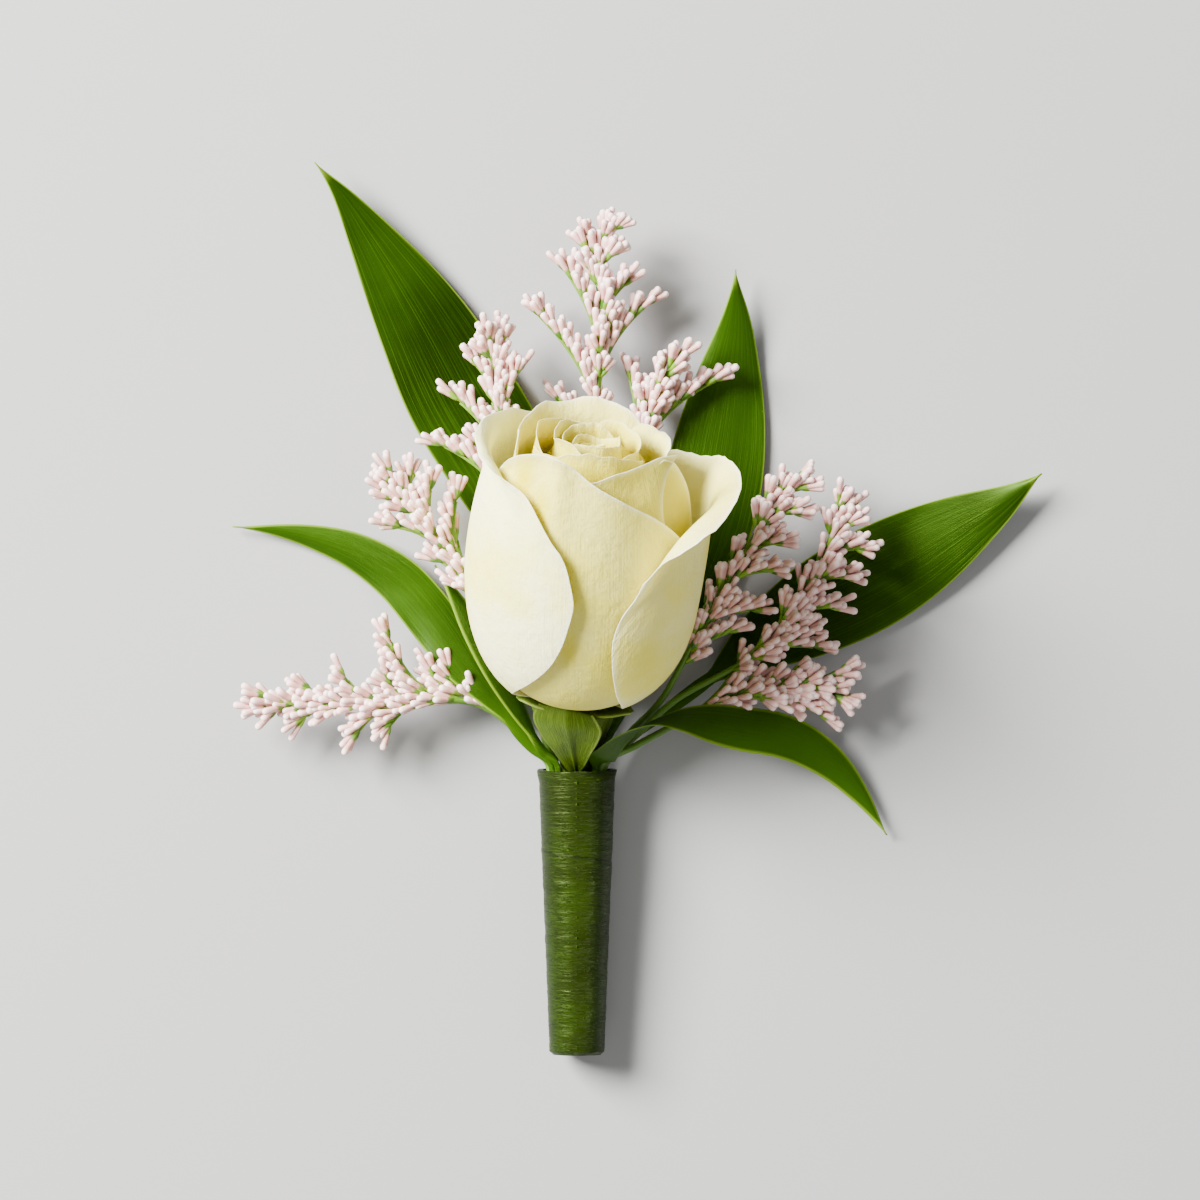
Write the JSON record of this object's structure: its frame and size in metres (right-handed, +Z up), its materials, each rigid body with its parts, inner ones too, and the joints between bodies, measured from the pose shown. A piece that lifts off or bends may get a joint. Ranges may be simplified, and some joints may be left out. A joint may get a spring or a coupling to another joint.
{
  "type": "boutonniere",
  "caption": "Boutonniere of a cream rose, broad green leaves and sprays of small pink buds, with its stems bound in green tape.",
  "frame": {"origin": "on the table, under the middle of the whole bunch as it lies on its back", "axes": "+Z up off the table, +Y from the taped handle towards the leaf tips, +X to the right seen from above"},
  "size_m": [0.1214, 0.1336, 0.0467],
  "materials": {
    "stem_tape": "matte green stem tape with a fine crepe",
    "rose_petals": "soft matte cream petals, yellower in the folds",
    "rose_green": "satin yellow-green hip and sepals",
    "leaf_green": "glossy dark green blade with pale edges",
    "bud_pink": "matte pale pink buds on yellow-green stems"
  },
  "bodies": {
    "root": {"stem_wrap": "stem_tape", "rose_bloom": "rose_petals", "rose_stem": "rose_green", "leaf_upper_left": "leaf_green", "leaf_upper_right": "leaf_green", "leaf_left": "leaf_green", "leaf_inner_left": "leaf_green", "leaf_right": "leaf_green", "leaf_lower_right": "leaf_green", "spray_top": "bud_pink", "spray_top_right": "bud_pink", "spray_upper_left": "bud_pink", "spray_left": "bud_pink", "spray_lower_left": "bud_pink", "spray_right_inner": "bud_pink", "spray_right_outer": "bud_pink", "spray_right_lower": "bud_pink"}
  },
  "joints": []
}
